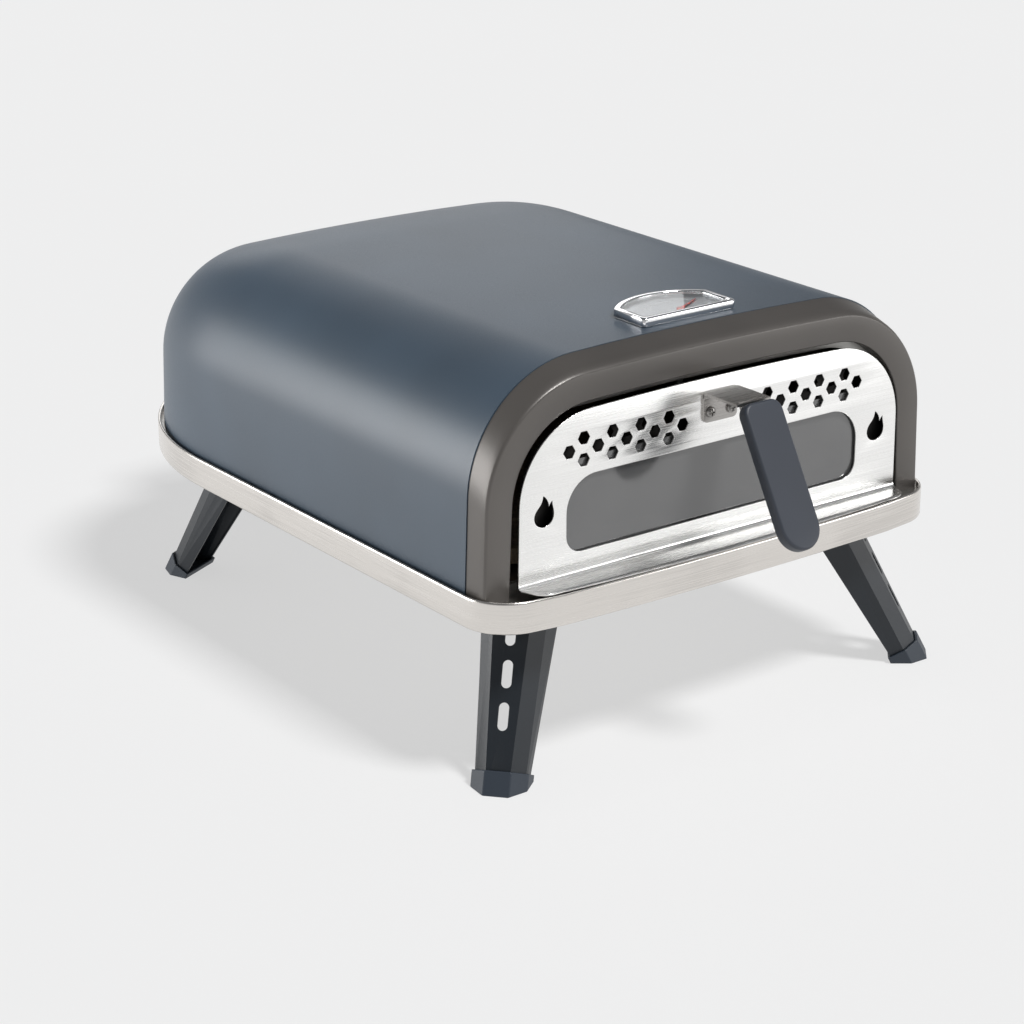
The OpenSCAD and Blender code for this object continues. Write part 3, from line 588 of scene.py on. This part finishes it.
def lights(lit):
    lamp("key", "SUN", (0.2, -0.56, 1.0), (0, 0, 0), 2.75, angle=0.25)
    lamp("left_softbox", "AREA", (-1.45, 0.85, 0.42), (-0.1, 0, 0.2), 21, (1.3, 0.8), receivers=lit)
    lamp("back_softbox", "AREA", (0.95, 2.0, 1.05), (-0.05, 0, 0.3), 5.5, (1.5, 0.9), receivers=lit)
    lamp("front_softbox", "AREA", (1.9, -2.1, 0.5), (0, -0.25, 0.2), 12, (1.2, 0.8), receivers=lit)


def camera():
    azimuth, elevation, distance = math.radians(36.691), math.radians(20.284), 2.1
    aim = Vector((-0.0613, DOOR_Y * MM + 0.1738, 0.1286))
    forward = Vector((math.sin(azimuth) * math.cos(elevation), math.cos(azimuth) * math.cos(elevation),
                      -math.sin(elevation)))
    data = bpy.data.cameras.new("camera")
    data.lens = 93.31
    data.sensor_width = 36
    obj = bpy.data.objects.new("camera", data)
    bpy.context.scene.collection.objects.link(obj)
    obj.location = aim - forward * distance
    obj.rotation_euler = forward.to_track_quat("-Z", "Y").to_euler()
    bpy.context.scene.camera = obj


camera()
lights(stage())
bpy.context.scene.view_settings.view_transform = "Standard"


# ---------- shell and front frame ----------

def arch_ring(outline, y, z0, sx=1.0, sz=1.0):
    return [(x * sx, y + DOOR_Y, z0 + (z - z0) * sz) for x, z in outline]


def outer_shell():
    outline = arch(SHELL_HALF, SHELL_Z, SHELL_TOP, SHELL_CORNER, CROWN_R, DRAFT)
    end = PLAN_STRAIGHT + SHELL_ROUND
    rings = [arch_ring(outline, 25 + (ROOF_STRAIGHT - 25) * i / 12, SHELL_Z) for i in range(12)]
    steps = 56
    for i in range(steps + 1):
        y = ROOF_STRAIGHT + (end - ROOF_STRAIGHT) * math.sin(math.radians(89.6 * i / steps))
        rings.append(arch_ring(outline, y, SHELL_Z, share((y - PLAN_STRAIGHT) / SHELL_ROUND, PLAN_POWER),
                               share((y - ROOF_STRAIGHT) / (end - ROOF_STRAIGHT), ROOF_POWER)))
    shell = loft("shell_skin", rings, smooth=50)
    solidify(shell, SHELL_T, 50)
    gap = 0.3
    cutter = block("port_cutter", (port_low.x - gap, port_low.y - 60, port_low.z - gap),
                   (port_high.x + gap, port_high.y + 60, port_high.z + gap))
    cut(shell, cutter, 50)
    dress(shell, "shell", "oven", "shell_paint", "outer_shell")


def frame_ring(inset, y, k, n=24):
    rise = FRAME_RISE[0] + (FRAME_RISE[1] - FRAME_RISE[0]) * k
    corner = FRAME_CORNER[0] + (FRAME_CORNER[1] - FRAME_CORNER[0]) * k
    outline = arch(FRAME_HALF - inset, SHELL_Z, SILL + rise - inset, corner - inset, CROWN_R, DRAFT, n)
    return arch_ring(outline, y, SHELL_Z)


def front_frame():
    rounding = 2.4
    rings = [frame_ring(0, FRAME_BACK - (FRAME_BACK - FRAME_FACE - rounding) * i / 4, 1 - 0.92 * i / 4)
             for i in range(5)]
    for a in (22.5, 45, 67.5, 90):
        s = math.radians(a)
        rings.append(frame_ring(rounding * (1 - math.cos(s)), FRAME_FACE + rounding * (1 - math.sin(s)), 0))
    mouth = [(MOUTH_HALF + d, MOUTH_RISE + d, MOUTH_CORNER + d) for d in (1.2, 0.35, 0)]
    for (half, rise, corner), y in zip(mouth, (0, 0.35, 1.2)):
        outline = arch(half, SHELL_Z, SILL + rise, corner, CROWN_R, MOUTH_LEAN)
        rings.append(arch_ring(outline, FRAME_FACE + y, SHELL_Z))
    rings.append(arch_ring(outline, FRAME_BACK - 8, SHELL_Z))
    skin = loft("front_frame_skin", rings, smooth=50)
    solidify(skin, 1.6, 50)
    dress(skin, "frame", "oven", "frame_paint", "front_frame")


def tray_rim():
    """Rim of the tray: a folded foot, an upright wall and a rolled upper edge."""
    def ring(inset, z):
        plan = d_plan(TRAY_HALF - inset, TRAY_FRONT + inset, TRAY_BOW,
                      TRAY_CORNER - inset, TRAY_ROUND - inset)
        return [(x, y + DOOR_Y, z) for x, y in plan]

    low, high, roll = rim_low.z, rim_high.z, 1.9
    profile = [(8.5, low + 0.2), (3, low)]
    profile += [(2.6 * (1 - math.sin(math.radians(a))), low + 2.6 * (1 - math.cos(math.radians(a))))
                for a in (15, 40, 65, 90)]
    profile += [(0, low + 9), (0, high - 6)]
    profile += [(roll * (1 - math.cos(math.radians(a))) / 2 + 0.25 * roll * (a / 90) ** 2, high - roll
                 + roll * math.sin(math.radians(a))) for a in (0, 25, 50, 75, 90)]
    profile += [(roll + 0.4, high - 0.5), (roll + 0.6, high - 1.6), (roll + 0.6, high - 6)]
    rim = loft("tray_rim", [ring(inset, z) for inset, z in profile], closed=True, smooth=50)
    solidify(rim, 0.5, 50)
    dress(rim, "tray", "oven", "brushed_tray", "base_rim")


outer_shell()
front_frame()
tray_rim()


# ---------- door ----------

def door_skin():
    outline = arch(DOOR_HALF, SILL, SILL + DOOR_RISE, DOOR_CORNER, CROWN_R, DOOR_LEAN)
    half, low, high, r0, r1 = WINDOW
    holes = [round_rect(half, SILL + low, SILL + high, r0, r1, 12)]
    spots = [(VENT_START + k * VENT_STEP[0], VENT_RISE) for k in (0, 2, 4, 6, 8)]
    spots += [(VENT_START + k * VENT_STEP[0], VENT_RISE + s * VENT_STEP[1])
              for k in (1, 3, 5, 7) for s in (-1, 1)]
    for side in (-1, 1):
        for x, rise in spots:
            holes.append([(side * x + VENT_R * math.cos(math.radians(60 * i)),
                           SILL + rise + VENT_R * math.sin(math.radians(60 * i))) for i in range(6)])
        holes.append([(side * FLAME_X + x, SILL + FLAME_RISE + z) for x, z in FLAME])
    face = plate("door_face", [outline] + holes, DOOR_T, 0.25, upright(DOOR_T / 2))

    bend, columns, across = 2.6, [], 72
    for i in range(across + 1):
        x = -DOOR_HALF + 2 * DOOR_HALF * i / across
        corner = max(0.0, abs(x) - (DOOR_HALF - 18))
        front = -LIP_REACH + 6 * min(abs(x), 165) ** 2 / 165 ** 2 + 18 - math.sqrt(18 ** 2 - corner ** 2)
        column = [(x, bend * (math.cos(math.radians(a)) - 1), SILL + bend * (1 - math.sin(math.radians(a))))
                  for a in (0, 22.5, 45, 67.5, 90)]
        column += [(x, -bend + (front + bend) * k / 5, SILL) for k in range(1, 6)]
        column += [(x, front - 0.3, SILL - 0.5), (x, front, SILL - 1)]
        columns.append([(p[0], p[1] + DOOR_Y, p[2]) for p in column])
    lip = loft("door_lip", columns, smooth=60)
    solidify(lip, 0.8, 60)
    dress(merge("door_skin", [face, lip]), "door", "door", "brushed_door", "door_plate")


def screw_head(name, place, radius, height):
    """Pan head with a cross recess, its dome along +Z before it is placed."""
    profile = [(0, 0), (radius, 0), (radius, height * 0.25)]
    profile += [(radius * math.cos(math.radians(a)), height * (0.3 + 0.7 * math.sin(math.radians(a))))
                for a in (20, 40, 60, 75)] + [(0, height)]
    head = revolve(name, profile, 28)
    reach, width, depth = radius * 0.62, radius * 0.15, height * 0.55
    cut(head, block("slot_a", (-reach, -width, height - depth), (reach, width, height + 1)), 35)
    cut(head, block("slot_b", (-width, -reach, height - depth), (width, reach, height + 1)), 35)
    return put(head, place)


def to_grip():
    """Frame of the bracket's front flange, with +Z up along the grip."""
    return at(0, -BRACKET_REACH, SILL + BRACKET_RISE) @ Matrix.Rotation(-GRIP_LEAN, 4, "X")


def handle():
    outline = round_rect(GRIP_W / 2, -GRIP_DROP - GRIP_L, -GRIP_DROP, GRIP_W / 2 - 0.1, 9, 14)
    middle = -(BRACKET_T + GRIP_T / 2) * MM
    place = to_grip() @ Matrix.Translation((0, middle, 0)) @ Matrix.Rotation(math.pi / 2, 4, "X")
    grip = plate("grip_moulding", [outline], GRIP_T, 2.6, place, 5)
    dress(grip, "grip", "door", "grip", "handle_grip")
    facing = Matrix.Rotation(math.pi / 2, 4, "X")
    heads = [screw_head(f"bolt_{i}", at(x, -BRACKET_T, SILL + 100) @ facing, 4.3, 2.6)
             for i, x in enumerate((-10, 10))]
    dress(merge("handle_bolts", heads), "fastener", "door", "fastener", "handle_screws")
    rear = Matrix.Rotation(-math.pi / 2, 4, "X")
    heads = [screw_head(f"stud_{i}", to_grip() @ Matrix.Translation((0, 0, z * MM)) @ rear, 3.6, 1.8)
             for i, z in enumerate((-18, -38))]
    dress(merge("grip_studs", heads), "fastener", "door", "fastener", "grip_screws")


def bracket():
    """Bent sheet: flange on the door, roof, and flange behind the grip."""
    half, top, bend = BRACKET_W / 2, SILL + BRACKET_RISE, 2.4
    back = plate("bracket_back", [round_rect(half, top - 24, top - 1, 4, 0.5, 8)], BRACKET_T, 0.25,
                 upright(-BRACKET_T / 2))
    path = [(0, top - 5), (0, top - 3.5)]
    path += [(y - bend, z + top - bend) for y, z in arc(0, 0, bend, 0, 90, 6)]
    path += [(-BRACKET_REACH * k / 4, top) for k in (1, 2, 3, 4)] + [(-BRACKET_REACH - BRACKET_LIP, top)]
    columns = [[(half * k / 2, y + DOOR_Y, z) for y, z in path] for k in (-2, -1, 0, 1, 2)]
    roof = loft("bracket_roof", columns, smooth=60)
    solidify(roof, BRACKET_T, 60)
    place = to_grip() @ Matrix.Translation((0, -BRACKET_T / 2 * MM, 0)) @ Matrix.Rotation(math.pi / 2, 4, "X")
    front = plate("bracket_front", [round_rect(half - 4, -48, -0.5, 1, 0.5, 4)], BRACKET_T, 0.25, place)
    dress(merge("bracket_skin", [back, roof, front]), "bracket", "door", "brushed_door", "handle_bracket")


door_skin()
bracket()
handle()


# ---------- thermometer ----------

def gauge_plan(d, n=28):
    r = (GAUGE_HALF ** 2 + GAUGE_BULGE ** 2) / (2 * GAUGE_BULGE)
    yc = GAUGE_Y + GAUGE_SIDE + GAUGE_BULGE - r
    w = GAUGE_HALF - d
    a = math.degrees(math.asin(w / (r - d)))
    y0 = GAUGE_Y + d
    return (arc(w - 4, y0 + 4, 4, -90, 0, 8) + arc(0, yc, r - d, 90 - a, 90 + a, n)
            + arc(-w + 4, y0 + 4, 4, 180, 270, 8))


def gauge():
    z0, top = bezel_low.z, bezel_high.z

    def ring(inset, z, arch_up=0.0):
        points = []
        for x, y in gauge_plan(inset):
            front = y < GAUGE_Y + inset + 0.5
            bump = max(0.0, 1 - (x / (GAUGE_HALF - 10)) ** 2) if front else 0.0
            points.append((x, y + DOOR_Y, z + arch_up * bump))
        return points

    profile = [ring(2.2, z0 + 0.9, 3.2), ring(0.4, z0 + 0.7, 3.4), ring(0, z0 + 1.2, 3.2), ring(0, top - 1.2),
               ring(0.35, top - 0.35), ring(1.2, top), ring(GAUGE_RING - 0.8, top),
               ring(GAUGE_RING, top - 0.8), ring(GAUGE_RING, top - 3.6)]
    bezel = loft("gauge_trim", profile, closed=True, smooth=45)
    solidify(bezel, 0.6, 45)
    foot = plate("gauge_base", [gauge_plan(0.6)], 0.9, 0.3, at(0, 0, z0 + 0.45))
    dress(merge("gauge_surround", [bezel, foot]), "trim", "oven", "bright_trim", "gauge_bezel")
    core = loft("gauge_core", [ring(2.6, z0 + 0.8), ring(2.6, top - 3.8)], closed=True, caps=True)
    dress(core, "recess", "oven", "gasket")
    scale()


def scale():
    """Printed scale on the dial: an arc, ticks and round numbers about the needle's pivot."""
    z = corners("gauge_dial")[1].z + 0.05
    pivot = GAUGE_Y + NEEDLE_BACK
    parts = []
    sweep, steps = 132, 26
    for k in range(steps + 1):
        a = math.radians(-sweep / 2 + sweep * k / steps)
        long = k % 5 == 3
        r0, r1, half = 27.5 if long else 29.5, 31.5, 0.28 if long else 0.16
        turn = at(0, pivot, z) @ Matrix.Rotation(-a, 4, "Z")
        tick = plate("tick", [[(-half, r0), (half, r0), (half, r1), (-half, r1)]], 0.08, 0.01, turn, 0)
        parts.append(tick)
    for r in (32.4, 22.5):
        outer = arc(0, 0, r + 0.18, 24, 156, 40)
        inner = arc(0, 0, r - 0.18, 156, 24, 40)
        parts.append(plate("band", [outer + inner], 0.08, 0.01, at(0, pivot, z), 0))
    for k, text in enumerate(("100", "200", "300", "400", "500")):
        a = math.radians(-50.8 + 25.4 * k)
        parts.append(number(text, at(0, pivot, z) @ Matrix.Rotation(-a, 4, "Z")
                            @ Matrix.Translation((0, 24.2 * MM, 0))))
    dress(merge("dial_scale", parts), "white", "oven", "dial")


def number(text, place):
    """Number of the dial as a flat mesh, centred on its own middle."""
    curve = bpy.data.curves.new("number", "FONT")
    curve.body = text
    curve.size = 3.2 * MM
    curve.align_x = "CENTER"
    curve.extrude = 0.04 * MM
    source = bpy.data.objects.new("number", curve)
    bpy.context.scene.collection.objects.link(source)
    mesh = bpy.data.meshes.new_from_object(source.evaluated_get(bpy.context.evaluated_depsgraph_get()))
    bpy.data.objects.remove(source)
    bpy.data.curves.remove(curve)
    obj = bpy.data.objects.new("number", mesh)
    bpy.context.scene.collection.objects.link(obj)
    mesh.transform(place)
    return obj


gauge()


# ---------- CAD nodes that keep their shape ----------

def soften(name, width, segments=2, angle=30):
    """Rounds the sharp edges of a CAD node that stays."""
    obj = nodes[name]
    weld = obj.modifiers.new("weld", "WELD")
    weld.merge_threshold = 0.00001
    bevel = obj.modifiers.new("edge", "BEVEL")
    bevel.width = width * MM
    bevel.segments = segments
    bevel.limit_method = "ANGLE"
    bevel.angle_limit = math.radians(angle)
    bevel.harden_normals = True


FINISH = {
    "steel": ["base_floor", "leg_brackets", "inner_liner", "hearth_plate", "stone_supports", "mouth_collar",
              "fuel_port", "fuel_rails", "fuel_drawer_front", "gauge_stem", "gauge_nut", "air_shutter"],
    # painted shade: these parts take the darkened copy of the satin steel
    "shadow_steel": ["flame_baffle", "fuel_basket", "window_clips"],
    # painted shade: the near-black panel stands for the shade behind the vents
    "panel": ["door_inner_panel", "door_spacers"],
    "fastener": ["base_screws", "leg_pins", "frame_screws", "shutter_rivet"],
    "blanket": ["shell_insulation", "floor_insulation"],
    "stone": ["pizza_stone"],
    "dial": ["gauge_dial"],
    "lens": ["gauge_lens"],
    "red": ["gauge_needle"],
    "window": ["window_glass"],
    "gasket": ["window_gasket"],
    "grip": ["fuel_drawer_handle"],
    "leg": ["leg_front_left", "leg_front_right", "leg_back_left", "leg_back_right"],
    "foot": ["foot_front_left", "foot_front_right", "foot_back_left", "foot_back_right"],
    "iron": ["fuel_grate"],
}
for material, names in FINISH.items():
    for name in names:
        mesh = nodes[name].data
        mesh.materials.clear()
        mesh.materials.append(M[material])

for name in FINISH["leg"]:
    soften(name, 0.7, 2, 25)
for name in FINISH["foot"]:
    soften(name, 0.9, 2, 25)
soften("fuel_drawer_front", 0.4)
soften("fuel_drawer_handle", 0.8)
soften("air_shutter", 0.3)
soften("pizza_stone", 1.2, 3)
soften("fuel_grate", 0.5)
